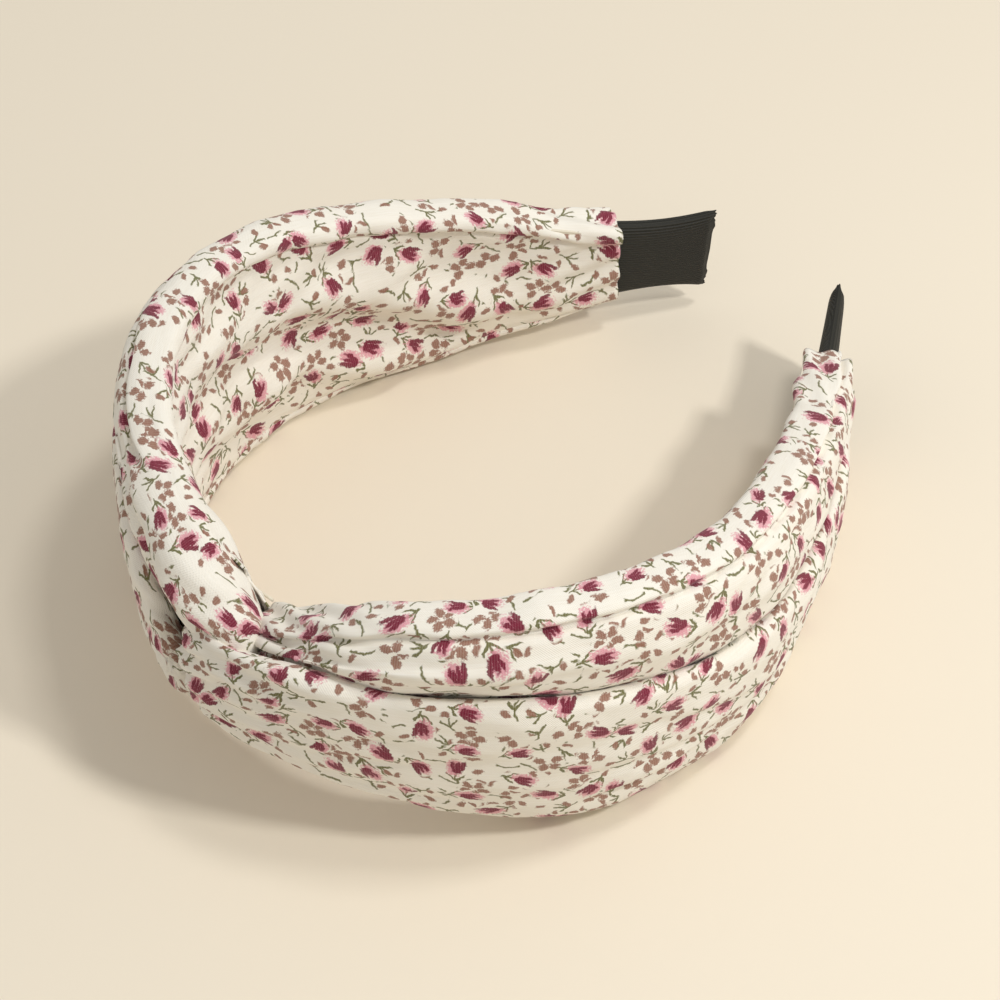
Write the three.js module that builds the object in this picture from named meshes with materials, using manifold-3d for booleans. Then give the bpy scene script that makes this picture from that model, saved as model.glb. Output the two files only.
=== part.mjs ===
// A knotted fabric headband, lying on its lower edge. Millimetres, +Z up.
//
// One springy hoop runs from tip to tip. The crown faces -Y and the two arms run back towards +Y.
// Places on the headband are given by three numbers:
//   along   distance along the hoop from the middle of the crown, negative on the left arm (-X)
//   out     distance out from the middle of the hoop's thickness, negative towards the head
//   height  distance above the surface that the headband lies on
import * as THREE from "three";
import * as BufferGeometryUtils from "three/addons/utils/BufferGeometryUtils.js";
import Module from "manifold-3d";

const wasm = await Module();
wasm.setup();

// ---- Driving dimensions -------------------------------------------------------------------------

const clearance = 0.3; // air between any two pieces that touch

// The hoop, from the middle of the crown to one tip: two arcs and a straight end.
const crownRadius = 58;
const crownTurn = 104.7; // degrees
const flankRadius = 150;
const flankTurn = 17.6; // degrees
const tipStretch = 38;
const hoopWidth = 17;
const hoopThickness = 1.6;
const hoopHeightAtCrown = 31; // height of the middle of the hoop's width
const hoopHeightAtTips = 15.5;

// Where each arm starts to flex away from the crown.
const flexAlong = 36;
const hoopJointGap = 0.5;
const clothJointGap = 2.4;

// The black ribbon pocket on each end of the hoop.
const ribbonShown = 21;
const ribbonTuck = 6;
const ribbonThickness = 0.9;

// Cloth layers.
const padThickness = 2;
const padMargin = 5; // from the cover's edges to the pad's
const glueThickness = 0.8;
const liningThickness = 1.2;
const rimWidth = 1.6; // the rolled edge, where the cover turns over to meet the lining
const coverBulge = 5; // how far a half of the cover stands out from the pad, in the middle of an arm
const coverBulgeAtTips = 1.4;
const coverBulgeShare = 0.35; // share of the cover's length up to which its bulge stays the same
const seamThread = 0.6;

// One half of the cover from the crease to its edge, in shares of its bulge and of its height.
const coverOutline = [
  { bulge: 0.6, height: 0 },
  { bulge: 1, height: 0.25 },
  { bulge: 1, height: 0.6 },
  { bulge: 0.65, height: 0.9 },
  { bulge: 0.3, height: 1 },
];

// The cover's upper edge, the crease between its two halves, and its lower edge, on either arm.
// The last station, where the cover ends on the ribbon, follows from the ribbon.
const edgeStations = [
  { along: 0, top: 50, crease: 32.5, bottom: 12 },
  { along: 30, top: 54, crease: 41, bottom: 9 },
  { along: 57, top: 56.5, crease: 39.5, bottom: 2 },
  { along: 76, top: 55, crease: 35, bottom: 0 },
  { along: 100, top: 50, crease: 28, bottom: 0 },
  { along: 130, top: 41.5, crease: 22, bottom: 0 },
];

// The knot, where the left strip is folded round the right one.
const knotWaist = 11; // height of the right strip where it is pinched
const knotWaistLength = 8; // how far the pinch runs to each side of the middle
const knotFanLength = 9; // how far past the pinch the right strip reaches its full width
const knotBulge = 9; // how far the folds stand out from the hoop's pad plane
const knotBandLength = 14;
const knotBandThickness = 1.4;
const tackStitchCount = 3;
const tackStitchLength = 5;
const tackStitchSpacing = 8;

const sweepStep = 5; // spacing of the sections along a curved piece
const weldDistance = 1e-4; // corners nearer than this are one corner
const mouthOverrun = 1; // how far the pocket's hollow is cut past its mouth

// ---- Places on the hoop -------------------------------------------------------------------------

const crownStretch = crownRadius * THREE.MathUtils.degToRad(crownTurn);
const flankStretch = flankRadius * THREE.MathUtils.degToRad(flankTurn);
const hoopHalfLength = crownStretch + flankStretch + tipStretch;
const coverEnd = hoopHalfLength - ribbonShown;
const ribbonStart = coverEnd - ribbonTuck;

const arcs = [
  { length: crownStretch, radius: crownRadius },
  { length: flankStretch, radius: flankRadius },
];

// Walks along the right arm and returns the place and the heading there.
function walk(distance) {
  let x = 0;
  let y = 0;
  let heading = 0;
  let left = distance;
  for (const { length, radius } of arcs) {
    const stretch = Math.min(left, length);
    const next = heading + stretch / radius;
    x += radius * (Math.sin(next) - Math.sin(heading));
    y += radius * (Math.cos(heading) - Math.cos(next));
    heading = next;
    left -= stretch;
  }
  return { x: x + left * Math.cos(heading), y: y + left * Math.sin(heading), heading };
}

const depth = walk(hoopHalfLength).y;

function place(along, out, height) {
  const { x, y, heading } = walk(Math.abs(along));
  const side = along < 0 ? -1 : 1;
  return new THREE.Vector3(
    side * (x + out * Math.sin(heading)),
    y - out * Math.cos(heading),
    height,
  );
}

function hoopHeight(along) {
  const share = walk(Math.abs(along)).y / depth;
  return THREE.MathUtils.lerp(hoopHeightAtCrown, hoopHeightAtTips, share);
}

const hoopFace = hoopThickness / 2;
const ribbonFace = hoopFace + clearance + ribbonThickness;
const padInner = hoopFace + clearance;
const padOuter = padInner + padThickness;
const glueInner = ribbonFace + clearance;
const glueOuter = glueInner + glueThickness;
const coverInner = Math.max(padOuter, glueOuter) + clearance;
const liningOuter = -(ribbonFace + clearance);
const liningInner = liningOuter - liningThickness;

const ribbonHalfWidth = hoopWidth / 2 + clearance + ribbonThickness;
const coverEndHalfWidth = ribbonHalfWidth + clearance + rimWidth;
const stations = [
  ...edgeStations,
  {
    along: coverEnd,
    top: hoopHeight(coverEnd) + coverEndHalfWidth,
    crease: hoopHeight(coverEnd),
    bottom: hoopHeight(coverEnd) - coverEndHalfWidth,
  },
];

// A smooth curve through the stations, which goes no lower than the surface underneath.
function edge(along, key) {
  const distance = Math.abs(along);
  const last = stations.length - 1;
  let index = 0;
  while (index < last - 1 && stations[index + 1].along < distance) index += 1;
  const [before, start, end, after] = [index - 1, index, index + 1, index + 2].map(
    (i) => stations[THREE.MathUtils.clamp(i, 0, last)],
  );
  const span = end.along - start.along;
  const slopeStart = start === before ? 0 : (end[key] - before[key]) / (end.along - before.along);
  const slopeEnd =
    end === after
      ? (end[key] - start[key]) / span
      : (after[key] - start[key]) / (after.along - start.along);
  const t = THREE.MathUtils.clamp((distance - start.along) / span, 0, 1);
  const value =
    (2 * t ** 3 - 3 * t ** 2 + 1) * start[key] +
    (t ** 3 - 2 * t ** 2 + t) * span * slopeStart +
    (3 * t ** 2 - 2 * t ** 3) * end[key] +
    (t ** 3 - t ** 2) * span * slopeEnd;
  return Math.max(value, 0);
}

const edgesAt = (along) => ({
  top: edge(along, "top"),
  crease: edge(along, "crease"),
  bottom: edge(along, "bottom"),
});

function bulgeAt(along) {
  const share = THREE.MathUtils.clamp(Math.abs(along) / coverEnd, coverBulgeShare, 1);
  return THREE.MathUtils.lerp(coverBulgeAtTips, coverBulge, Math.sin(Math.PI * share));
}

// ---- Making a piece -----------------------------------------------------------------------------

// A closed body through a section that changes along the hoop, with a section at every stop and
// evenly between. sectionAt returns [out, height] points, anticlockwise with out to the right.
function sweepThrough(sectionAt, stops) {
  const outlines = [{ along: stops[0], points: sectionAt(stops[0]) }];
  for (let stop = 1; stop < stops.length; stop += 1) {
    const [from, to] = [stops[stop - 1], stops[stop]];
    const parts = Math.max(1, Math.ceil((to - from) / sweepStep));
    for (let i = 1; i <= parts; i += 1) {
      const along = THREE.MathUtils.lerp(from, to, i / parts);
      outlines.push({ along, points: sectionAt(along) });
    }
  }
  const steps = outlines.length - 1;
  const count = outlines[0].points.length;
  const positions = outlines.flatMap(({ along, points }) =>
    points.flatMap(([out, height]) => place(along, out, height).toArray()),
  );
  const index = [];
  for (let ring = 0; ring < steps; ring += 1) {
    for (let i = 0; i < count; i += 1) {
      const a = ring * count + i;
      const b = ring * count + ((i + 1) % count);
      index.push(a, a + count, b, b, a + count, b + count);
    }
  }
  const cap = (outline, offset, reversed) => {
    const points = outline.points.map(([out, height]) => new THREE.Vector2(out, height));
    for (const [a, b, c] of THREE.ShapeUtils.triangulateShape(points, [])) {
      if (reversed) index.push(offset + a, offset + c, offset + b);
      else index.push(offset + a, offset + b, offset + c);
    }
  };
  cap(outlines[0], 0, false);
  cap(outlines[steps], steps * count, true);
  const geometry = new THREE.BufferGeometry();
  geometry.setAttribute("position", new THREE.Float32BufferAttribute(positions, 3));
  geometry.setIndex(index);
  return geometry;
}

const sweep = (sectionAt, from, to) => sweepThrough(sectionAt, [from, to]);

// A flat-sided section between two layers and two heights.
const slab = (inner, outer, low, high) => [
  [inner, low],
  [outer, low],
  [outer, high],
  [inner, high],
];

function toSolid(geometry) {
  const bare = geometry.clone();
  bare.deleteAttribute("normal");
  bare.deleteAttribute("uv");
  const merged = BufferGeometryUtils.mergeVertices(bare, weldDistance);
  return new wasm.Manifold(
    new wasm.Mesh({
      numProp: 3,
      vertProperties: new Float32Array(merged.attributes.position.array),
      triVerts: new Uint32Array(merged.index.array),
    }),
  );
}

function toGeometry(solid) {
  const mesh = solid.getMesh();
  const geometry = new THREE.BufferGeometry();
  geometry.setAttribute("position", new THREE.BufferAttribute(mesh.vertProperties, 3));
  geometry.setIndex(new THREE.BufferAttribute(mesh.triVerts, 1));
  return geometry;
}

const headband = new THREE.Group();

function add(name, geometry, look) {
  geometry.computeVertexNormals();
  const mesh = new THREE.Mesh(geometry, new THREE.MeshStandardMaterial(look));
  mesh.name = name;
  headband.add(mesh);
}

const hoopLook = { color: 0x1c1b1a, roughness: 0.45, metalness: 0 };
const coverLook = { color: 0xe9e1d2, roughness: 0.85, metalness: 0 };
const liningLook = { color: 0xe2d9c8, roughness: 0.9, metalness: 0 };
const padLook = { color: 0xf1efe9, roughness: 0.95, metalness: 0 };
const ribbonLook = { color: 0x211f1c, roughness: 0.8, metalness: 0 };
const threadLook = { color: 0xe6dcc8, roughness: 0.8, metalness: 0 };
const glueLook = { color: 0xd9cfae, roughness: 0.35, metalness: 0 };

// ---- Sections -----------------------------------------------------------------------------------

const hoopSection = (along) => {
  const middle = hoopHeight(along);
  return slab(-hoopFace, hoopFace, middle - hoopWidth / 2, middle + hoopWidth / 2);
};

const liningSection = (along) => {
  const { top, bottom } = edgesAt(along);
  const inset = rimWidth + clearance;
  return slab(liningInner, liningOuter, bottom + inset, top - inset);
};

const padSection = (along) => {
  const { top, bottom } = edgesAt(along);
  return slab(padInner, padOuter, bottom + padMargin, top - padMargin);
};

// One half of the folded cover: it bulges out between the crease and the edge, and rolls over the
// edge as far as the lining's inner face, or as far as roll says. The roll is flat underneath,
// where the headband rests.
function coverHalf(crease, rim, bulge, roll = liningInner) {
  const way = Math.sign(rim - crease);
  const span = rim - crease;
  const points = [
    [coverInner, crease],
    ...coverOutline.map((share) => [
      coverInner + share.bulge * bulge,
      crease + share.height * span,
    ]),
    [roll, rim],
    [roll, rim - way * rimWidth],
    [coverInner, rim - way * rimWidth],
  ];
  return way > 0 ? points : points.reverse();
}

const upperSection = (along) => {
  const { top, crease } = edgesAt(along);
  return coverHalf(crease + clearance / 2, top, bulgeAt(along));
};

const lowerSection = (along) => {
  const { crease, bottom } = edgesAt(along);
  return coverHalf(crease - clearance / 2, bottom, bulgeAt(along));
};

// ---- The crown ----------------------------------------------------------------------------------

const crownHoopEnd = flexAlong - hoopJointGap / 2;
const crownClothEnd = flexAlong - clothJointGap / 2;

add("hoop_crown", sweep(hoopSection, -crownHoopEnd, crownHoopEnd), hoopLook);
add("crown_lining", sweep(liningSection, -crownClothEnd, crownClothEnd), liningLook);

// The left strip's two rolls straddle the waist of the right strip and end just past the middle.
const waistTop = hoopHeightAtCrown + knotWaist / 2;
const waistBottom = hoopHeightAtCrown - knotWaist / 2;

function pinch(along) {
  const reach = (along + crownClothEnd) / (crownClothEnd - knotWaistLength);
  return THREE.MathUtils.smoothstep(reach, 0, 1);
}

function rollBulge(along) {
  return THREE.MathUtils.lerp(bulgeAt(flexAlong), knotBulge, pinch(along));
}

const leftUpperRoll = (along) => {
  const { top, crease } = edgesAt(along);
  const low = THREE.MathUtils.lerp(crease + clearance / 2, waistTop + clearance, pinch(along));
  return coverHalf(low, top, rollBulge(along));
};

const leftLowerRoll = (along) => {
  const { bottom, crease } = edgesAt(along);
  const high = THREE.MathUtils.lerp(crease - clearance / 2, waistBottom - clearance, pinch(along));
  return coverHalf(high, bottom, rollBulge(along));
};

add("left_upper_roll", sweep(leftUpperRoll, -crownClothEnd, knotWaistLength), coverLook);
add("left_lower_roll", sweep(leftLowerRoll, -crownClothEnd, knotWaistLength), coverLook);

// The right strip is pinched inside the fork. Just past it, its two halves open out to the full
// width of the band, and from there on they roll over the edges as the cover does on the arms.
const knotFanEnd = knotWaistLength + knotFanLength;

function rightFold(along, crease, pinchedRim, openRim) {
  const spread = THREE.MathUtils.smoothstep(along, knotWaistLength, knotFanEnd);
  const rim = THREE.MathUtils.lerp(pinchedRim, openRim, spread);
  const bulge = THREE.MathUtils.lerp(knotBulge, bulgeAt(flexAlong), spread);
  const roll = along > knotFanEnd ? liningInner : coverInner - clearance;
  return coverHalf(crease, rim, bulge, roll);
}

const rightUpperFold = (along) => {
  const { top, crease } = edgesAt(along);
  return rightFold(along, crease + clearance / 2, waistTop, top);
};

const rightLowerFold = (along) => {
  const { bottom, crease } = edgesAt(along);
  return rightFold(along, crease - clearance / 2, waistBottom, bottom);
};

const rightFoldStops = [-knotWaistLength, knotWaistLength, knotFanEnd, crownClothEnd];
add("right_upper_fold", sweepThrough(rightUpperFold, rightFoldStops), coverLook);
add("right_lower_fold", sweepThrough(rightLowerFold, rightFoldStops), coverLook);

// Behind the lining, the end of the left strip closes the knot, held by tack stitches.
const bandOuter = liningInner - clearance;
const bandInner = bandOuter - knotBandThickness;
const knotBandSection = (along) => {
  const { top, bottom } = edgesAt(along);
  return slab(bandInner, bandOuter, bottom + rimWidth, top - rimWidth);
};
add("knot_inner_band", sweep(knotBandSection, -knotBandLength / 2, knotBandLength / 2), coverLook);

const stitchOuter = bandInner - clearance;
for (let i = 0; i < tackStitchCount; i += 1) {
  const middle = hoopHeightAtCrown + (i - (tackStitchCount - 1) / 2) * tackStitchSpacing;
  const section = () =>
    slab(stitchOuter - seamThread, stitchOuter, middle - seamThread / 2, middle + seamThread / 2);
  const name = `knot_tack_stitch_${i + 1}`;
  add(name, sweep(section, -tackStitchLength / 2, tackStitchLength / 2), threadLook);
}

// ---- The arms -----------------------------------------------------------------------------------

const armHoopStart = flexAlong + hoopJointGap / 2;
const armClothStart = flexAlong + clothJointGap / 2;

const gluePad = (along) => {
  const middle = hoopHeight(along);
  return slab(glueInner, glueOuter, middle - hoopWidth / 2, middle + hoopWidth / 2);
};

const seamSection = (along) => {
  const { top } = edgesAt(along);
  const seam = top - rimWidth - clearance / 2;
  const outer = liningInner - clearance;
  return slab(outer - seamThread, outer, seam - seamThread / 2, seam + seamThread / 2);
};

function ribbonPocket(along, face, halfWidth) {
  const middle = hoopHeight(along);
  return slab(-face, face, middle - halfWidth, middle + halfWidth);
}

for (const [sideName, side] of [
  ["left", -1],
  ["right", 1],
]) {
  // Sweeps run towards +along, so the left arm's two ends are swapped.
  const sweepArm = (section, near, far) =>
    side > 0 ? sweep(section, near, far) : sweep(section, -far, -near);
  const named = (name) => `${sideName}_${name}`;

  add(`hoop_${sideName}_arm`, sweepArm(hoopSection, armHoopStart, hoopHalfLength), hoopLook);
  add(named("foam_pad"), sweepArm(padSection, armClothStart, ribbonStart - clearance), padLook);
  add(named("cover_upper"), sweepArm(upperSection, armClothStart, coverEnd), coverLook);
  add(named("cover_lower"), sweepArm(lowerSection, armClothStart, coverEnd), coverLook);
  add(named("lining"), sweepArm(liningSection, armClothStart, coverEnd), liningLook);
  add(named("end_glue"), sweepArm(gluePad, ribbonStart, coverEnd), glueLook);
  add(named("seam_thread"), sweepArm(seamSection, armClothStart, coverEnd), threadLook);

  const outside = (along) => ribbonPocket(along, ribbonFace, ribbonHalfWidth);
  const inside = (along) =>
    ribbonPocket(along, hoopFace + clearance, hoopWidth / 2 + clearance);
  const pocketEnd = hoopHalfLength + clearance;
  const block = toSolid(sweepArm(outside, ribbonStart, pocketEnd + ribbonThickness));
  const hollow = toSolid(sweepArm(inside, ribbonStart - mouthOverrun, pocketEnd));
  add(named("end_ribbon"), toGeometry(block.subtract(hollow)), ribbonLook);
}

// The origin is on the surface that the headband lies on, under the middle of the whole object.
const box = new THREE.Box3().setFromObject(headband);
const middle = box.getCenter(new THREE.Vector3());
headband.position.set(-middle.x, -middle.y, -box.min.z);
headband.updateMatrixWorld(true);

export default headband;
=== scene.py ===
"""A knotted headband in small-print cotton, lying on its edge. Metres, +Z up."""
import bpy
import math
import numpy as np
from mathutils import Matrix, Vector


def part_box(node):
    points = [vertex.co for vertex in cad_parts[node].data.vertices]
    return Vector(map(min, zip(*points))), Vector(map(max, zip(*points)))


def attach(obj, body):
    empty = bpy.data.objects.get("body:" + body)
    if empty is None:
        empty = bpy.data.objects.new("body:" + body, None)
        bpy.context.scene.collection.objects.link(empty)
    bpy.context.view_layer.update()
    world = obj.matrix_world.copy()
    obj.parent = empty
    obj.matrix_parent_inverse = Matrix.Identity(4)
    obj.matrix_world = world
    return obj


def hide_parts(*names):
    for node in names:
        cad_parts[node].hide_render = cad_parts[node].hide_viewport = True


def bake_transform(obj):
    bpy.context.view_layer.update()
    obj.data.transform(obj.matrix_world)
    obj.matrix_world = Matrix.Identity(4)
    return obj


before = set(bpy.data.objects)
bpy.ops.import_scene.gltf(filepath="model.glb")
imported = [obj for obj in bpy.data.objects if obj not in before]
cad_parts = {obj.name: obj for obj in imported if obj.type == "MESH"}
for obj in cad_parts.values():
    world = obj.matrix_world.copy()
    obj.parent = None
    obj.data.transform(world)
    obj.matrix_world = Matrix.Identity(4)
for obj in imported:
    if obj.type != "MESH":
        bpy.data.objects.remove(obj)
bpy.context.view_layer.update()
scene = bpy.context.scene
mm = 0.001

# ---- Table, camera and lights -------------------------------------------------------------------
# The headband lies on a plain cream table top. One fairly small light comes from the right and a
# little in front, a second from higher up and behind, and a pale sky fills the shadows.

table_size = 6.0
bpy.ops.mesh.primitive_plane_add(size=table_size, location=(0, 0, 0))
table = bpy.context.object
table.name = "table_top"


def srgb(red, green, blue):
    """Display values from 0 to 255 as the linear colour that a shader takes."""
    shares = (value / 255 for value in (red, green, blue))
    linear = [s / 12.92 if s <= 0.04045 else ((s + 0.055) / 1.055) ** 2.4 for s in shares]
    return (*linear, 1.0)


class Wire:
    """One output of a shader node, which Python's operators turn into Math nodes."""

    def __init__(self, socket):
        self.socket = socket

    def node(self, kind, settings=None, sockets=None, output=0):
        """Add a node with its settings first, then its sockets' values or wires."""
        tree = self.socket.id_data
        made = tree.nodes.new(kind)
        for key, value in (settings or {}).items():
            setattr(made, key, value)
        for key, value in (sockets or {}).items():
            if isinstance(value, Wire):
                tree.links.new(value.socket, made.inputs[key])
            else:
                made.inputs[key].default_value = value
        return Wire(made.outputs[output])

    def math(self, operation, *values, clamp=False):
        settings = {"operation": operation, "use_clamp": clamp}
        return self.node("ShaderNodeMath", settings, dict(enumerate(values)))

    def __add__(self, other):
        return self.math("ADD", self, other)

    __radd__ = __add__

    def __mul__(self, other):
        return self.math("MULTIPLY", self, other)

    __rmul__ = __mul__

    def __sub__(self, other):
        return self.math("SUBTRACT", self, other)

    def __rsub__(self, other):
        return self.math("SUBTRACT", other, self)

    def __truediv__(self, other):
        return self.math("DIVIDE", self, other)

    def __abs__(self):
        return self.math("ABSOLUTE", self)

    def __gt__(self, other):
        return self.math("GREATER_THAN", self, other)

    def lesser(self, other):
        return self.math("MINIMUM", self, other)

    def greater(self, other):
        return self.math("MAXIMUM", self, other)

    def inside(self, softness):
        """One where this distance is below nothing, and none above, with a soft edge."""
        return self.math("MULTIPLY_ADD", self, -1 / softness, 0.5, clamp=True)

    def mix(self, first, second):
        """A colour between two colours, with this wire as the factor."""
        sockets = {0: self, 6: first, 7: second}
        return self.node("ShaderNodeMix", {"data_type": "RGBA"}, sockets, output=2)


def finish_of(name, roughness):
    """A new material with its shader, and the first wire to build on."""
    material = bpy.data.materials.new(name)
    material.use_nodes = True
    shader = material.node_tree.nodes["Principled BSDF"]
    shader.inputs["Roughness"].default_value = roughness
    start = Wire(material.node_tree.nodes.new("ShaderNodeTexCoord").outputs["Object"])
    return material, shader, start


def connect(wire, socket):
    wire.socket.id_data.links.new(wire.socket, socket)


table_paint, shader, place_on_table = finish_of("cream_table", 0.62)
cloudy = place_on_table.node("ShaderNodeTexNoise", sockets={"Vector": place_on_table, "Scale": 3.0})
connect(cloudy.mix(srgb(236, 224, 203), srgb(240, 229, 209)), shader.inputs["Base Color"])
table.data.materials.append(table_paint)

view_azimuth = math.radians(43.35)
view_elevation = math.radians(47.74)
view_distance = 0.5172
view_target = Vector((-0.00897, 0.00757, 0.0))
bpy.ops.object.camera_add()
camera = bpy.context.object
to_camera = Vector(
    (
        math.sin(view_azimuth) * math.cos(view_elevation),
        -math.cos(view_azimuth) * math.cos(view_elevation),
        math.sin(view_elevation),
    )
)
camera.location = view_target + view_distance * to_camera
camera.rotation_euler = to_camera.to_track_quat("Z", "Y").to_euler()
camera.data.sensor_width = 36
camera.data.lens = 93.1
camera.data.clip_start = 0.01
scene.camera = camera


def add_light(name, towards, distance, size, power, colour):
    """A square light at a distance from the headband, facing it."""
    direction = Vector(towards).normalized()
    bpy.ops.object.light_add(type="AREA", location=direction * distance)
    light = bpy.context.object
    light.name = name
    light.rotation_euler = direction.to_track_quat("Z", "Y").to_euler()
    light.data.size = size
    light.data.energy = power
    light.data.color = colour


add_light("key_light", (19.4, 7.0, 26.0), 0.85, 0.085, 2.75, (1.0, 1.0, 0.99))
add_light("top_light", (5.8, 7.3, 26.0), 1.2, 0.17, 3.0, (1.0, 1.0, 1.0))
world = bpy.data.worlds.new("room")
world.use_nodes = True
world.node_tree.nodes["Background"].inputs["Color"].default_value = (1.0, 0.99, 0.97, 1.0)
world.node_tree.nodes["Background"].inputs["Strength"].default_value = 0.53
scene.world = world
scene.view_settings.view_transform = "Standard"

# ---- Hoop ---------------------------------------------------------------------------------------
# One flat springy strip of black plastic, moulded to a horseshoe. It is hidden by the cloth, and
# every cloth piece takes its place from the hoop's path.

crown_radius = 58 * mm
crown_turn = math.radians(104.7)
flank_radius = 150 * mm
flank_turn = math.radians(17.6)
tip_stretch = 38 * mm
crown_stretch = crown_radius * crown_turn
flank_stretch = flank_radius * flank_turn
hoop_half_length = crown_stretch + flank_stretch + tip_stretch
hoop_to_knot_band = 3.8 * mm
crown_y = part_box("knot_inner_band")[0][1] - hoop_to_knot_band


def place(along, out, height):
    """Points at distances along the hoop, out from it and above the table; the left arm is negative."""
    distance = np.abs(along)
    first = np.minimum(distance, crown_stretch) / crown_radius
    second = np.clip(distance - crown_stretch, 0, flank_stretch) / flank_radius
    rest = np.maximum(distance - crown_stretch - flank_stretch, 0)
    heading = first + second
    x = crown_radius * np.sin(first) + flank_radius * (np.sin(heading) - np.sin(first))
    y = crown_radius * (1 - np.cos(first)) + flank_radius * (np.cos(first) - np.cos(heading))
    x = x + rest * np.cos(heading) + out * np.sin(heading)
    y = y + rest * np.sin(heading) - out * np.cos(heading)
    side = np.where(along < 0, -1.0, 1.0)
    height = height + 0 * x
    return np.stack([side * x, crown_y + y, height], axis=-1)


plastic, shader, start = finish_of("black_plastic", 0.45)
grain = start.node("ShaderNodeTexNoise", sockets={"Vector": start, "Scale": 900.0})
connect(grain.mix(srgb(26, 25, 24), srgb(40, 38, 36)), shader.inputs["Base Color"])
for node in ("hoop_crown", "hoop_left_arm", "hoop_right_arm"):
    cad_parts[node].data.materials.clear()
    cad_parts[node].data.materials.append(plastic)


# ---- End glue, foam pads and end ribbons ---------------------------------------------------------
# A thin foam strip softens the outside of each arm, and a smear of clear glue holds the cover's end
# to the ribbon. Each tip of the hoop wears a pocket of black ribbed ribbon with a cut, pointed end.

foam, shader, start = finish_of("white_foam", 0.95)
cells = start.node("ShaderNodeTexVoronoi", sockets={"Vector": start, "Scale": 1400.0})
connect(cells.mix(srgb(238, 236, 230), srgb(250, 249, 246)), shader.inputs["Base Color"])
glue, shader, start = finish_of("clear_glue", 0.3)
clouds = start.node("ShaderNodeTexNoise", sockets={"Vector": start, "Scale": 300.0})
connect(clouds.mix(srgb(205, 196, 165), srgb(226, 219, 196)), shader.inputs["Base Color"])
for side in ("left", "right"):
    for node, finish in ((f"{side}_foam_pad", foam), (f"{side}_end_glue", glue)):
        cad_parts[node].data.materials.clear()
        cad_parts[node].data.materials.append(finish)

ribbon_shown = 21 * mm
cover_end = hoop_half_length - ribbon_shown
height_at_crown = 31
height_lost_at_tips = 15.5


def curve_through(stops, values, at):
    """A smooth curve through values given at rising stops, read at other places."""
    stops, values, at = (np.asarray(v, float) for v in (stops, values, at))
    slopes = np.gradient(values, stops, axis=0)
    index = np.clip(np.searchsorted(stops, at, side="right") - 1, 0, len(stops) - 2)
    column = (-1,) + (1,) * (values.ndim - 1)
    span = (stops[index + 1] - stops[index]).reshape(column)
    t = np.clip((at - stops[index]).reshape(column) / span, 0, 1)
    first, last = values[index], values[index + 1]
    bend = slopes[index] * t * (1 - t) ** 2 + slopes[index + 1] * t**2 * (t - 1)
    return first * (1 + 2 * t) * (1 - t) ** 2 + last * t**2 * (3 - 2 * t) + span * bend


def hoop_height(along):
    """The height of the middle of the hoop, which slopes from the crown to the tips."""
    depth = place(np.array([hoop_half_length]), 0, 0)[0, 1] - crown_y
    share = (place(np.atleast_1d(np.abs(along)), 0, 0)[:, 1] - crown_y) / depth
    return (height_at_crown - height_lost_at_tips * share) * mm


def lengths_along(points, axis):
    """Distances along the rows or the columns of a grid of points, from nought."""
    steps = np.linalg.norm(np.diff(points, axis=axis), axis=-1)
    return np.concatenate([np.zeros_like(steps.take([0], axis)), np.cumsum(steps, axis)], axis)


def grid_mesh(name, points, pattern, closed=False):
    """A piece from a grid of points and the pattern's coordinates in metres."""
    rows, columns = points.shape[:2]
    index = np.arange(rows * columns).reshape(rows, columns)
    if closed:
        index = np.concatenate([index, index[:, :1]], axis=1)
    corners = [index[:-1, :-1], index[1:, :-1], index[1:, 1:], index[:-1, 1:]]
    faces = np.stack([c.ravel() for c in corners], axis=-1)
    mesh = bpy.data.meshes.new(name)
    mesh.from_pydata(points.reshape(-1, 3).tolist(), [], faces.tolist())
    layer = mesh.uv_layers.new(name="cloth")
    spots = np.empty(len(mesh.loops), int)
    mesh.loops.foreach_get("vertex_index", spots)
    layer.data.foreach_set("uv", pattern.reshape(-1, 2)[spots].ravel().astype(np.float32))
    mesh.update()
    piece = bpy.data.objects.new(name, mesh)
    scene.collection.objects.link(piece)
    return piece


def apply_modifier(piece, kind, **settings):
    bpy.ops.object.select_all(action="DESELECT")
    bpy.context.view_layer.objects.active = piece
    piece.select_set(True)
    modifier = piece.modifiers.new(kind, kind)
    for key, value in settings.items():
        setattr(modifier, key, value)
    bpy.ops.object.modifier_apply(modifier=modifier.name)
    bpy.ops.object.shade_smooth()


ribbon_weave, shader, start = finish_of("black_grosgrain", 0.72)
on_ribbon = start.node("ShaderNodeUVMap", {"uv_map": "cloth"})
rib_spacing = 0.62 * mm
rib_count = 1 / rib_spacing
split = on_ribbon.node("ShaderNodeSeparateXYZ", sockets={0: on_ribbon})
across_ribbon = Wire(split.socket.node.outputs[1])
ribs = across_ribbon.math("SINE", across_ribbon * (rib_count * 2 * math.pi))
fibres = on_ribbon.node("ShaderNodeTexNoise", sockets={"Vector": on_ribbon, "Scale": 2600.0})
# The ribbon's own dark tone varies with the fibre noise. The rib wave also paints shade into the
# grooves between ribs and a lighter tone on their ridges.
rib_shaded_colour = (ribs * 0.16 + fibres * 0.6 + 0.1).mix(srgb(22, 21, 15), srgb(45, 43, 31))
connect(rib_shaded_colour, shader.inputs["Base Color"])
raised = {"Height": ribs + fibres * 0.7, "Distance": 0.00012, "Strength": 0.7}
connect(start.node("ShaderNodeBump", sockets=raised), shader.inputs["Normal"])

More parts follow.
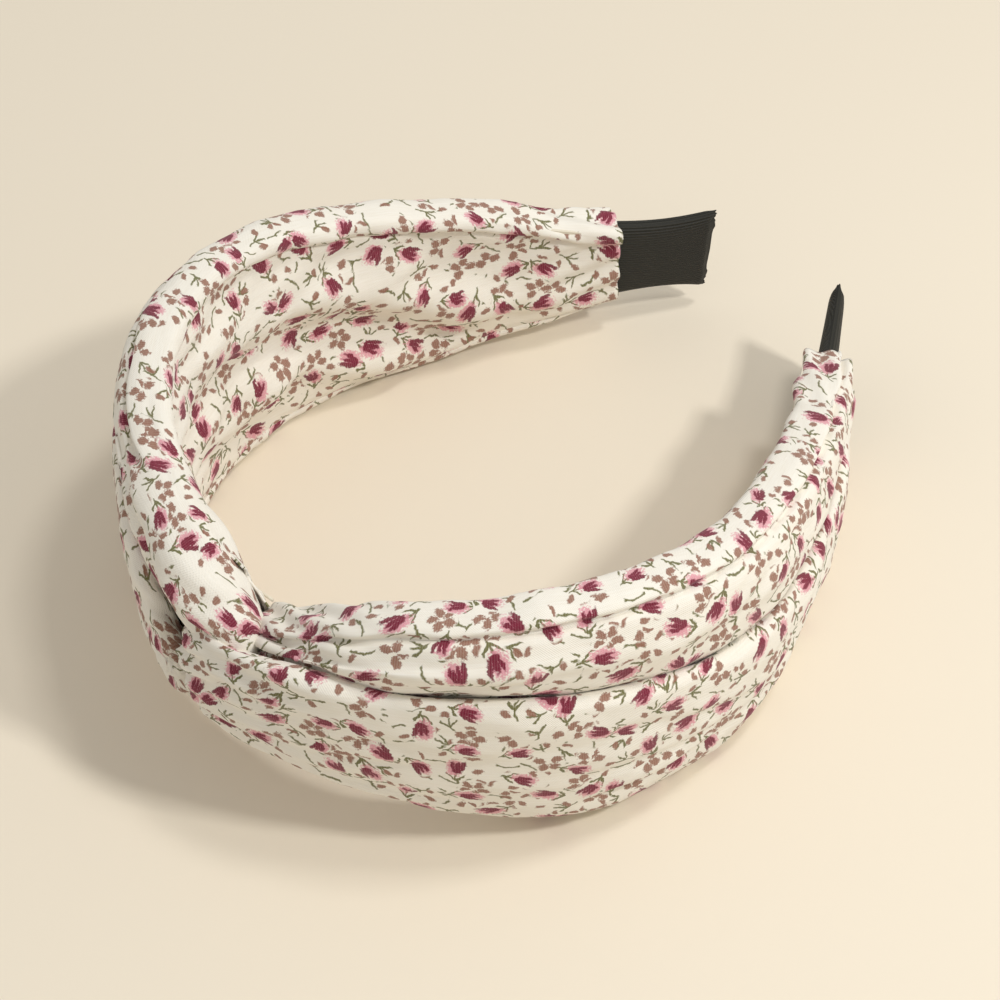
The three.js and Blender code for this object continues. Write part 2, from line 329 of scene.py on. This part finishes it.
ribbon_tuck, ribbon_past_tip = 6 * mm, 1.5 * mm
ribbon_thickness = 0.22 * mm
ribbon_start, ribbon_end = cover_end - ribbon_tuck, hoop_half_length + ribbon_past_tip
ribbon_rows = np.linspace(ribbon_start, ribbon_end, 60)
around = np.linspace(0, 2 * math.pi, 72, endpoint=False)
for side, turn in (("left", -1), ("right", 1)):
    share = (ribbon_rows - ribbon_start)[:, None] / (ribbon_end - ribbon_start)
    round_x = np.sign(np.cos(around)) * np.abs(np.cos(around)) ** 0.35
    round_y = np.sign(np.sin(around)) * np.abs(np.sin(around)) ** 0.8
    width = (9.6 - 0.9 * np.sin(math.pi * np.clip(share * 1.25 - 0.25, 0, 1)) + 0.4 * share**6) * mm
    depth = (2.1 - 0.7 * share) * mm
    past_hoop = (ribbon_rows[:, None] - hoop_half_length) / mm
    depth = depth * np.clip(1 - 0.62 * past_hoop, 0.2, 1)
    out = depth * round_y[None]
    height = hoop_height(ribbon_rows)[:, None] + width * round_x[None]
    ragged = 0.5 * np.clip(share * 4 - 3, 0, 1) ** 2 * mm
    point = round_x[None] * 1.5 + 0.35 * np.sin(9 * around)[None] + 0.25 * np.sin(23 * around)[None]
    along = ribbon_rows[:, None] + ragged * point
    points = place(turn * along, out, height)
    if turn < 0:
        points = points[:, ::-1]
    around_length = lengths_along(points, 1)
    pattern = np.stack([along + 0 * out, around_length], axis=-1)
    ribbon = grid_mesh(f"{side}_ribbon_pocket", points, pattern, closed=True)
    apply_modifier(ribbon, "SOLIDIFY", thickness=ribbon_thickness, offset=-1)
    ribbon.data.materials.append(ribbon_weave)
    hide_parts(f"{side}_end_ribbon")
    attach(ribbon, f"{side}_arm")

# ---- Lining -------------------------------------------------------------------------------------
# A strip of the same printed cotton lies against the inside of the hoop. It was cut wider than the
# hoop, so it falls in long soft folds, and it is drawn together at the knot and at each ribbon.

cotton, shader, start = finish_of("printed_cotton", 0.88)
cloth = start.node("ShaderNodeUVMap", {"uv_map": "cloth"})


def vector_math(operation, *values):
    """One vector sum on wires or fixed vectors."""
    return cloth.node("ShaderNodeVectorMath", {"operation": operation}, dict(enumerate(values)))


def parts_of(vector):
    """The first two numbers of a vector."""
    split = vector.node("ShaderNodeSeparateXYZ", sockets={0: vector})
    return split, Wire(split.socket.node.outputs[1])


millimetres = vector_math("SCALE", cloth)
millimetres.socket.node.inputs["Scale"].default_value = 1000.0
wander = cloth.node("ShaderNodeTexNoise", sockets={"Vector": millimetres, "Scale": 0.9}, output=1)
wandered = vector_math("SUBTRACT", wander, (0.5, 0.5, 0.5))
wandered = vector_math("MULTIPLY", wandered, (1.1, 1.1, 0.0))
drawn = vector_math("ADD", millimetres, wandered)


def scatter(cell, shift, evenness=0.75):
    """Motifs one to a cell, each turned its own way: place in the motif, and three random numbers."""
    spot = vector_math("ADD", drawn, (shift, 2.3 * shift, 0.0))
    settings = {"voronoi_dimensions": "2D"}
    sockets = {"Vector": spot, "Scale": 1 / cell, "Randomness": evenness}
    cells = cloth.node("ShaderNodeTexVoronoi", settings, sockets, output=1)
    centre = Wire(cells.socket.node.outputs["Position"])
    red = cells.node("ShaderNodeSeparateColor", sockets={0: cells})
    green, blue = (Wire(red.socket.node.outputs[n]) for n in (1, 2))
    away = vector_math("SUBTRACT", spot, centre)
    turned = {"Vector": away, "Angle": red * (2 * math.pi)}
    across, up = parts_of(cloth.node("ShaderNodeVectorRotate", {"rotation_type": "Z_AXIS"}, turned))
    return across, up, red, green, blue


def blob(across, up, half_width, half_height):
    """How far outside an oval a place is, in millimetres."""
    wide, high = across / half_width, up / half_height
    reach = across.math("SQRT", wide * wide + high * high)
    return (reach - 1) * min(half_width, half_height)


# Tulips: soft pink petals round a dark heart, on an olive stem with two leaves.
across, up, _, green, _ = scatter(8.9, 0.0)
grown = 0.62 + green * 0.2
across, up = across / grown, up / grown
fringe = cloth.node("ShaderNodeTexNoise", sockets={"Vector": millimetres, "Scale": 2.4})
pink = (blob(across + 0.7, up + 0.3, 1.9, 3.2) + (fringe - 0.5) * 3.0).inside(0.7)
heart = blob(across - 1.15 - up * 0.12, up - 0.3, 0.62, 2.4)
heart = heart.lesser(blob(across, up + 0.2, 0.6, 2.1))
heart = heart.lesser(blob(across + 1.1 + up * 0.15, up + 0.1, 0.55, 1.8))
heart = heart.lesser(blob(across, up + 1.7, 1.3, 0.8)) + (fringe - 0.5) * 0.6
burgundy = heart.inside(0.2)
bowed = across - up * up * 0.03 + 0.5
stem = (abs(bowed) - 0.28).greater(abs(up + 4.3) - 1.9)
leaf = (abs(up + 5.2 - abs(bowed) * 1.1) - 0.42).greater(abs(bowed) - 2.1)
olive = stem.lesser(leaf).inside(0.2)
near_tulip = blob(across, up + 1.0, 3.0, 4.9).inside(0.4)

# Blossoms: taupe petals round an empty middle, with some petals missing.
across, up, red, green, _ = scatter(7.6, 31.7)
around_blossom = across.math("ARCTAN2", up, across) * (5 / (2 * math.pi)) + 5
petal = across.math("FLOOR", around_blossom)
turn = (around_blossom - petal - 0.5) * (2 * math.pi / 5)
reach = across.math("SQRT", across * across + up * up)
out_from_petal = reach * across.math("COSINE", turn) - 1.55
beside_petal = reach * across.math("SINE", turn)
kept = across.node("ShaderNodeTexWhiteNoise", {"noise_dimensions": "1D"}, {"W": petal + red * 40})
petals = blob(out_from_petal, beside_petal, 1.05, 0.8) + (fringe - 0.5) * 1.1
taupe = petals.inside(0.25) * (kept > 0.3) * (green > 0.25)
near_blossom = (reach - 2.8).inside(0.4) * (green > 0.25)

# Loose petals and small sprigs between them.
across, up, _, green, _ = scatter(3.9, 57.1)
oval = (blob(across, up, 0.55, 0.95) + (fringe - 0.5) * 0.5).inside(0.2) * (green > 0.35)
taupe = taupe.greater(oval * (1 - near_blossom))
across, up, _, green, blue = scatter(4.9, 83.9)
bowed = across - up * up * 0.12 + 0.2
twig = (abs(bowed) - 0.2).greater(abs(up) - 2.1)
side_twig = (abs(up - abs(bowed) * 1.1 + 0.2) - 0.32).greater(abs(bowed) - 1.5)
side_twig = side_twig + (blue > 0.55) * 4
sprig = twig.lesser(side_twig).inside(0.2) * (green > 0.12)
olive = olive.greater(sprig * (1 - near_blossom) * (1 - near_tulip))
taupe = taupe * (1 - near_tulip)

weave_across, weave_up = parts_of(millimetres)
thread_pitch = 0.42
thread = 2 * math.pi / thread_pitch
weft = weave_across.math("SINE", weave_across * thread)
warp = weave_across.math("SINE", weave_up * thread)
slub_settings = {"Vector": vector_math("MULTIPLY", millimetres, (0.25, 3.0, 0.0)), "Scale": 1.0}
slubs = cloth.node("ShaderNodeTexNoise", sockets=slub_settings)
ink = 0.86 + 0.14 * fringe + 0.05 * weft
paper = slubs.mix(srgb(238, 230, 214), srgb(249, 245, 235))
colour = (olive * ink).mix(paper, srgb(106, 104, 54))
colour = (taupe * ink).mix(colour, slubs.mix(srgb(138, 94, 76), srgb(164, 120, 100)))
colour = (pink * ink * 0.92).mix(colour, fringe.mix(srgb(236, 168, 178), srgb(204, 112, 134)))
colour = (burgundy * ink).mix(colour, slubs.mix(srgb(98, 10, 36), srgb(134, 26, 56)))
connect(colour, shader.inputs["Base Color"])
raised = {"Height": weft * warp * 0.5 + slubs * 0.8, "Distance": 0.00009, "Strength": 0.7}
connect(cloth.node("ShaderNodeBump", sockets=raised), shader.inputs["Normal"])
shader.inputs["Sheen Weight"].default_value = 0.15
shader.inputs["Sheen Roughness"].default_value = 0.5
shader.inputs["Specular IOR Level"].default_value = 0.25

edge_stops = np.array([0, 30, 57, 76, 100, 130, 1000 * cover_end])
edge_heights = np.array(
    [
        (50, 35, 12),
        (54, 41, 9),
        (56.5, 39.5, 2),
        (55, 35, 0.3),
        (50, 28, 0.3),
        (41.5, 22, 0.6),
        (27.4, 17.3, 7.2),
    ]
)


def edges_at(along):
    """The band's upper edge, its crease and its lower edge, in millimetres."""
    return curve_through(edge_stops, edge_heights, np.array([abs(along)]))[0]


def noise_field(seed, along, across, longest, count=26):
    """Smooth seeded unevenness between about -1 and 1, over places in millimetres."""
    draw = np.random.default_rng(seed)
    total = np.zeros_like(along)
    for _ in range(count):
        length = longest * draw.uniform(0.3, 1)
        heading, phase = draw.uniform(0, 2 * math.pi, 2)
        toward = np.cos(heading) * along + np.sin(heading) * across
        total += np.sin(2 * math.pi * toward / length + phase)
    return total / math.sqrt(count)


def fold_line(along, across, start, end, width, depth):
    """A soft groove from one place to another, fading out at its ends; a minus depth is a ridge."""
    start, end = np.array(start, float), np.array(end, float)
    run = end - start
    place_on = ((along - start[0]) * run[0] + (across - start[1]) * run[1]) / (run @ run)
    aside = ((along - start[0]) * run[1] - (across - start[1]) * run[0]) / np.linalg.norm(run)
    held = np.clip(place_on, 0, 1)
    fade = np.sin(math.pi * (0.08 + 0.84 * held)) ** 0.7
    past = (place_on - held) * np.linalg.norm(run)
    return -depth * fade * np.exp(-((aside / width) ** 2) - (past / (1.6 * width)) ** 2)


cloth_thickness = 0.42 * mm
bend_from, bend_to = 27 * mm, 45 * mm
gather_reach = 16
print_draw = 0.92
left_print_shift = 0.31


def add_lines(lift, lines, along, height, outer=1.0):
    """Add grooves, each a start, an end, a width and a depth, where the cloth faces outwards."""
    for line in lines:
        lift += outer * fold_line(along, height, *line)
    return lift


def make_cloth(name, side, stops, sections, folds, columns=84, step=0.85, pinched=0.0):
    """A sheet through sections of (out, height) in millimetres, with its folds."""
    sections = np.asarray(sections, float)
    rows = int((stops[-1] - stops[0]) / step)
    along = np.linspace(stops[0], stops[-1], rows)
    grid = curve_through(stops, sections, along)
    chords = np.linalg.norm(np.diff(grid, axis=1), axis=-1).mean(axis=0)
    reach = np.concatenate([[0], np.cumsum(chords)])
    grid = curve_through(reach, grid.swapaxes(0, 1), np.linspace(0, reach[-1], columns))
    grid = grid.swapaxes(0, 1)
    out, height = np.moveaxis(grid, -1, 0)
    place_along = along[:, None] + np.zeros_like(out)
    points = place(place_along * mm, out * mm, height * mm)
    down, across = lengths_along(points, 0), lengths_along(points, 1)
    normals = np.cross(np.gradient(points, axis=0), np.gradient(points, axis=1))
    normals /= np.maximum(np.linalg.norm(normals, axis=-1, keepdims=True), 1e-12)
    lift = folds(place_along, height, across / mm, out)
    points = points + normals * (lift * mm)[..., None]
    middle = across[:, columns // 2 : columns // 2 + 1]
    gather = 1 + pinched * np.exp(-((along[:, None] / gather_reach) ** 2))
    length = down[:, columns // 2 : columns // 2 + 1] + 0.15 * (down - down[:, :1])
    pattern = np.stack([length * print_draw + 0 * across, (across - middle) * gather], axis=-1)
    if side == "left":
        pattern[..., 0] += left_print_shift
    return grid_mesh(name, points, pattern)


def finish_cloth(piece, side, replaced):
    """Give a sheet its thickness and its print, hide the pieces that it replaces and bake its
    transform.
    """
    apply_modifier(piece, "SOLIDIFY", thickness=cloth_thickness, offset=-1, use_rim=True)
    piece.data.materials.append(cotton)
    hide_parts(*replaced)
    turn = -1 if side == "left" else 1
    start, end = place(np.array([bend_from, bend_to]) * turn, 0, 30 * mm)
    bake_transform(piece)


arm_stops = [32, 44, 57, 68, 80, 92, 105, 118, 131, 144, 156, 164, 170.6]


def ends_scale(along):
    """How large the rolled edges are: full on the arms and small at the ribbon."""
    return float(np.interp(abs(along), [0, 120, 150, 169], [1, 1, 0.75, 0.5]))


def lining_section(along, drawn_in):
    """The lining from its top edge to its lower one, with a hollow and a swell on each side of it."""
    top, _, bottom = edges_at(along)
    if drawn_in:
        top = min(top, np.interp(along, [0, 9, 14, 20, 34], [39, 42, 45.5, 49, 54.3]))
    k = ends_scale(along)
    top, bottom = top - 2.2 * k, bottom + 1.8 * k
    far = abs(along)
    hollow = np.interp(far, [40, 70, 95, 112, 128, 145], [32, 30, 26, 19, 11, 4])
    deep = np.interp(far, [0, 30, 75, 95, 135, 160, 170], [0.1, 0.5, 0.8, 1.0, 1.0, 0.5, 0.0])
    heights = np.linspace(top, bottom, 17)
    above = 3.4 * np.exp(-(((heights - hollow - 10) / 6.5) ** 2))
    within = 1.9 * np.exp(-(((heights - hollow) / 3.8) ** 2))
    below = 2.6 * np.exp(-(((heights - hollow + 9) / 5.5) ** 2))
    edge = np.minimum(top - heights, heights - bottom)
    swell = (above - within + below) * np.clip(edge / (5 * k), 0, 1) * deep
    tucked = 0.9 * np.clip(edge / (2.5 * k), 0, 1)
    return [(-2.5 - t - w, h) for t, w, h in zip(tucked, swell, heights)]


lining_lines = [
    ((58, 20), (92, 34), 2.6, 1.2),
    ((66, 12), (104, 22), 2.2, 0.9),
    ((96, 8), (150, 16), 2.6, 1.0),
]
for side, turn in (("left", -1), ("right", 1)):
    stops = [0.4, 8, 18, *arm_stops]
    sections = [lining_section(stop, turn > 0)[::-1] for stop in stops]
    if turn < 0:
        stops, sections = [-stop for stop in stops[::-1]], sections[::-1]
    seed = 11 if turn < 0 else 12

    def lining_folds(along, height, across, out):
        far = np.abs(along)
        knot = np.exp(-((far / 26) ** 2)) + 0.45 * np.exp(-(((far - 55) / 22) ** 2))
        tip = np.clip((far - 142) / 24, 0, 1)
        gathers = 0.55 * np.cos(2 * math.pi * across / 5.2 + 0.05 * far + np.sin(far / 17) * 1.2)
        pleats = 0.5 * np.cos(2 * math.pi * across / 6.1 + 0.9)
        soft = noise_field(seed, far, height * 2.2, 46) * 0.55
        fine = noise_field(seed + 40, far, height, 9) * 0.07
        lift = gathers * knot + pleats * tip + soft * (1 - tip) + fine
        lift = add_lines(lift, lining_lines, far, height)
        edge = np.minimum(across, across[:, -1:] - across)
        return lift * np.clip(edge / 4, 0, 1)

    lining = make_cloth(
        f"{side}_lining_cloth", side, stops, sections, lining_folds, columns=76, pinched=0.5
    )
    replaced = [f"{side}_lining"] + (["crown_lining"] if turn < 0 else [])
    finish_cloth(lining, side, replaced)

# ---- Cover --------------------------------------------------------------------------------------
# The cover is two strips of the printed cotton, one on each arm, folded in half along the outside.
# Each upper half rolls over the top edge and each lower half has a rolled edge along the crease.


def upper_section(top, crease, k=1.0, puff=1.0, aside=0.0):
    """The upper half from inside the top edge, over it and down to behind the crease."""
    deep = top - crease
    flap = max(k, 0.8)
    shape = [
        (-2.2, top - 4.4 * flap),
        (-4.0, top - 3.8 * flap),
        (-5.1, top - 2.2 * flap),
        (-4.4, top - 0.2 * flap),
        (-1.2, top + 0.6 * k),
        (1.3, top + 0.5 * k),
        (3.0, top - 0.4 * k),
        (2.5, top - 2.1 * k),
        (4.2, top - 2.2 * k),
        (5.0 + 1.0 * puff, top - 4.8 * k),
        (4.8 + 2.3 * puff, top - 0.42 * deep),
        (4.6 + 2.3 * puff, top - 0.62 * deep),
        (4.4 + 1.6 * puff, top - 0.84 * deep),
        (4.0 + 0.5 * puff, crease),
        (3.4, crease - 2.5 * k),
    ]
    return [(out + aside, height) for out, height in shape]


def lower_section(crease, bottom, k=1.0, puff=1.0, aside=0.0):
    """The lower half from behind the crease, over its rolled edge, down and round underneath."""
    deep = crease - bottom
    shape = [
        (3.5, crease - 4.2 * k),
        (4.2, crease - 1.4 * k),
        (4.5 + 0.6 * puff, crease + 0.5 * k),
        (5.1 + 1.2 * puff, crease + 1.2 * k),
        (5.8 + 1.9 * puff, crease + 0.5 * k),
        (6.0 + 2.4 * puff, crease - 1.7 * k),
        (5.8 + 2.7 * puff, crease - 0.33 * deep),
        (5.4 + 2.8 * puff, crease - 0.52 * deep),
        (5.0 + 2.2 * puff, bottom + 0.28 * deep),
        (4.2 + 1.3 * puff, bottom + 0.11 * deep),
        (3.2, bottom + 0.9 * k),
        (0.8, bottom + 0.2 * k),
        (-2.0, bottom + 0.5 * k),
        (-3.4, bottom + 1.3 * k),
        (-3.6, bottom + 2.6 * k),
        (-2.6, bottom + 3.6 * k),
    ]
    return [(out + aside, height) for out, height in shape]


def puff_at(along):
    """How full the cover is: full at the knot and flat at the ribbon."""
    return float(np.interp(abs(along), [0, 60, 110, 140, 169], [1.25, 1.1, 1.0, 0.6, 0.1]))


def arm_sections(half, slack=1.0):
    """The sections of one half of the cover down an arm."""
    made = []
    for stop in arm_stops:
        top, crease, bottom = edges_at(stop)
        ends = (top, crease) if half is upper_section else (crease, bottom)
        taut = np.interp(stop, [30, 100, 150], [slack, 0.5 + 0.5 * slack, 1])
        made.append(half(*ends, k=ends_scale(stop), puff=puff_at(stop) * taut))
    return made


def cover_noise(seed, along, height, across):
    """The small unevenness of pressed and handled cotton."""
    soft = noise_field(seed, along * 0.8, height * 1.6, 30) * 0.30
    fine = noise_field(seed + 7, along, height * 1.3, 8) * 0.06
    draw = np.random.default_rng(seed + 19)
    total = soft + fine
    for _ in range(34):
        at = (draw.uniform(12, 165), draw.uniform(3, 52))
        heading = draw.normal(0, 0.7)
        reach = draw.uniform(5, 15)
        to = (at[0] + reach * math.cos(heading), at[1] + reach * math.sin(heading))
        width, depth = draw.uniform(0.6, 1.3), draw.uniform(0.12, 0.34)
        total += fold_line(along, height, at, to, width, depth)
    return total


def fade_edges(lift, across, margin=3.0):
    """Bring folds down to nothing at the two long edges."""
    edge = np.minimum(across, across[:, -1:] - across)
    return lift * np.clip(edge / margin, 0, 1)


upper_lines = [
    ((22, 44), (60, 47), 1.3, 0.6),
    ((84, 38), (104, 46), 1.8, 0.9),
    ((112, 34), (160, 24), 1.2, 0.9),
]


def upper_folds(seed):
    """The folds of an upper half, gathered at the knot and at the ribbon."""

    def folds(along, height, across, out):
        far = np.abs(along)
        tip = np.clip((far - 140) / 26, 0, 1)
        knot = np.exp(-(((far - 14) / 15) ** 2))
        lift = cover_noise(seed, far, height, across)
        lift += 0.45 * tip * np.cos(2 * math.pi * across / 5.4 + 0.4)
        lift += 0.5 * knot * np.cos(2 * math.pi * across / 4.6 + 0.06 * far)
        outer = np.clip((out - 2) / 2, 0, 1)
        return fade_edges(add_lines(lift, upper_lines, far, height, outer), across)

    return folds


lower_lines = [
    ((97, 12), (60, 20), 1.7, 0.9),
    ((97, 11), (64, 10), 1.5, 0.9),
    ((98, 14), (68, 30), 1.6, 0.9),
    ((100, 12), (126, 18), 1.5, 0.7),
    ((10, 24), (46, 27), 1.8, 0.7),
    ((16, 17), (52, 14), 1.5, 0.6),
]


def lower_folds(seed, knot_lines=()):
    """The folds of a lower half, and any more that it has where it crosses the knot."""

    def folds(along, height, across, out):
        far = np.abs(along)
        tip = np.clip((far - 140) / 26, 0, 1)
        knot = np.exp(-(((far - 6) / 16) ** 2))
        lift = cover_noise(seed, far, height, across)
        lift += 0.4 * tip * np.cos(2 * math.pi * across / 5.8 + 1.9)
        lift += 0.5 * knot * np.cos(2 * math.pi * across / 5.4 + 0.04 * far + 0.6)
        outer = np.clip((out - 2) / 2, 0, 1)
        lift = add_lines(lift, lower_lines, far, height, outer)
        return fade_edges(add_lines(lift, knot_lines, along, height, outer), across)

    return folds


def oval_section(out, height, half_out, half_height, count=15):
    """A roll's section, from low on the inside, over the top and round to underneath."""
    angles = np.radians(np.linspace(228, -95, count))
    outs = out + half_out * np.cos(angles)
    heights = height + half_height * np.sin(angles)
    return list(zip(outs, heights))


def mirrored(stops, sections):
    """The same sections on the left arm, in rising order along the hoop."""
    return [-stop for stop in stops[::-1]], sections[::-1]


# The right strip is drawn narrow in the knot and fans out to the full width of the band.
stops = [4, 9, 14, 20, *arm_stops]
sections = [
    upper_section(39, 33, k=0.5, puff=-0.6, aside=-1.0),
    upper_section(42, 34, k=0.6, puff=-0.5, aside=-0.8),
    upper_section(45.5, 36, k=0.8, puff=-0.2, aside=-0.3),
    upper_section(49, 38.5, k=0.9, puff=0.3, aside=0.0),
    *arm_sections(upper_section),
]
piece = make_cloth(
    "right_upper_cloth", "right", stops, [s[::-1] for s in sections], upper_folds(31), pinched=0.6
)
cad = ["right_cover_upper", "right_upper_fold"]
finish_cloth(piece, "right", cad)

pucker_lines = [
    ((-7, 26), (7, 34), 1.1, 1.5),
    ((-6, 33), (4, 37.5), 0.8, 0.9),
    ((-6, 20), (14, 21), 1.2, 0.9),
]
stops = [-6.0, -5.3, -3.4, 1, 7, 14, 22, *arm_stops]
sections = [
    lower_section(32, 14, k=0.6, puff=-0.9, aside=-3.2),
    lower_section(34.5, 12.6, k=0.9, puff=0.5, aside=-0.4),
    lower_section(37, 12, k=1.2, puff=1.2, aside=0.9),
    lower_section(38.8, 12, k=1.4, puff=1.5, aside=1.2),
    lower_section(40.4, 12, k=1.5, puff=1.5, aside=1.1),
    lower_section(41.6, 11.5, k=1.4, puff=1.3, aside=0.8),
    lower_section(42, 10.8, k=1.2, puff=1.2, aside=0.5),
    *arm_sections(lower_section),
]
piece = make_cloth(
    "right_lower_cloth", "right", stops, [s[::-1] for s in sections],
    lower_folds(32, pucker_lines), pinched=0.6,
)
cad = ["right_cover_lower", "right_lower_fold"]
finish_cloth(piece, "right", cad)

# ---- Knot ---------------------------------------------------------------------------------------
# The left strip is folded over the right one in the middle of the crown. Its upper half is a full
# roll whose end turns down over the right strip, and its lower half is drawn in under it.

stops, sections = mirrored(arm_stops, arm_sections(upper_section, slack=0.4))
stops += [-21, -13, -7, -2, 2, 5, 7, 8.2]
sections += [
    oval_section(0.6, 45.5, 6.8, 8.8),
    oval_section(0.9, 44.9, 7.4, 8.6),
    oval_section(1.8, 43.8, 7.6, 8.2),
    oval_section(2.6, 42.2, 7.0, 7.6),
    oval_section(3.0, 40.6, 5.8, 6.6),
    oval_section(3.2, 39.4, 4.6, 5.2),
    oval_section(3.3, 38.6, 3.0, 3.4),
    oval_section(3.3, 38.2, 0.8, 1.0),
]


def roll_folds(along, height, across, out):
    far = np.abs(along)
    tip = np.clip((-along - 140) / 26, 0, 1)
    knot = np.exp(-(((along + 2) / 13) ** 2))
    lift = cover_noise(33, far, height, across) * (1 - 0.5 * knot)
    lift += 0.45 * tip * np.cos(2 * math.pi * across / 5.4 + 0.4)
    outer = np.clip((out - 1) / 2, 0, 1)
    lift += outer * fold_line(along, height, (-30, 51), (2, 40), 1.7, 1.9)
    lift += outer * fold_line(along, height, (-18, 43), (2, 36), 1.2, 0.8)
    lift += fold_line(along, height, (-40, 55.5), (-8, 52.5), 2.0, 0.5) * np.clip(out + 2, 0, 1)
    lift += 0.35 * knot * np.cos(2 * math.pi * across / 7.0)
    return fade_edges(lift, across)


piece = make_cloth(
    "left_upper_cloth", "left", stops, [s[::-1] for s in sections], roll_folds, pinched=0.25
)
cad = ["left_cover_upper", "left_upper_roll"]
finish_cloth(piece, "left", cad)

stops, sections = mirrored(arm_stops, arm_sections(lower_section, slack=0.4))
stops += [-23, -16, -11, -8, -5.5]
sections += [
    lower_section(39, 9.5, k=1.0, puff=0.9, aside=0.2),
    lower_section(35, 9.5, k=0.9, puff=1.1, aside=0.4),
    lower_section(28, 9.8, k=0.8, puff=1.1, aside=0.6),
    lower_section(21, 10.4, k=0.6, puff=0.7, aside=0.4),
    lower_section(15.5, 11.0, k=0.3, puff=-0.2, aside=-0.6),
]
piece = make_cloth(
    "left_lower_cloth", "left", stops, [s[::-1] for s in sections], lower_folds(34), pinched=0.6
)
cad = ["left_cover_lower", "left_lower_roll"]
finish_cloth(piece, "left", cad)

# The end of the left strip comes over the top and closes the knot down the inside, in gathers.
band_stops = [-7, -6.4, -4, 0, 4, 6.4, 7]
band_outs = [-3.9, -4.8, -5.3, -5.4, -5.3, -4.8, -3.9]
band_sections = []
for stop, out in zip(band_stops, band_outs):
    heights = np.linspace(42 - 0.8 * stop, 14.5, 11)
    bow = np.sin(np.linspace(0, math.pi, 11)) ** 0.5
    band_sections.append([(out * (0.75 + 0.25 * b), h) for b, h in zip(bow, heights)])


def band_folds(along, height, across, out):
    return fade_edges(0.45 * np.cos(2 * math.pi * along / 3.4 + height * 0.05), across, 2.0)


inner_band = make_cloth(
    "knot_inner_cloth", "left", band_stops, [s[::-1] for s in band_sections], band_folds,
    columns=60, step=0.3, pinched=0.4,
)
apply_modifier(inner_band, "SOLIDIFY", thickness=cloth_thickness, offset=-1, use_rim=True)
inner_band.data.materials.append(cotton)
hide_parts("knot_inner_band")
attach(inner_band, "crown")

# ---- Thread -------------------------------------------------------------------------------------
# Three tack stitches hold the end of the knot, and a line of thread closes the cover to the lining
# inside the top edge of each arm.

thread_look, shader, start = finish_of("ecru_thread", 0.8)
twist = start.node("ShaderNodeTexNoise", sockets={"Vector": start, "Scale": 4000.0})
connect(twist.mix(srgb(214, 203, 180), srgb(240, 232, 214)), shader.inputs["Base Color"])
for side in ("left", "right"):
    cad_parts[f"{side}_seam_thread"].data.materials.clear()
    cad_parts[f"{side}_seam_thread"].data.materials.append(thread_look)
stitch_radius, stitch_length = 0.3 * mm, 5 * mm
for number in (1, 2, 3):
    low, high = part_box(f"knot_tack_stitch_{number}")
    middle = (low + high) / 2
    bpy.ops.object.select_all(action="DESELECT")
    turned = (0, math.pi / 2, math.radians(4 * number - 9))
    bpy.ops.mesh.primitive_cylinder_add(
        vertices=12, radius=stitch_radius, depth=stitch_length, location=middle, rotation=turned
    )
    stitch = bpy.context.object
    stitch.name = f"tack_stitch_{number}"
    bpy.ops.object.mode_set(mode="EDIT")
    bpy.ops.mesh.select_all(action="SELECT")
    bpy.ops.mesh.subdivide(number_cuts=7)
    bpy.ops.object.mode_set(mode="OBJECT")
    apply_modifier(stitch, "SIMPLE_DEFORM", deform_method="TAPER", deform_axis="X", factor=0.3)
    bpy.ops.object.transform_apply(location=True, rotation=True, scale=True)
    stitch.data.materials.append(thread_look)
    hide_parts(f"knot_tack_stitch_{number}")
    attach(stitch, "crown")
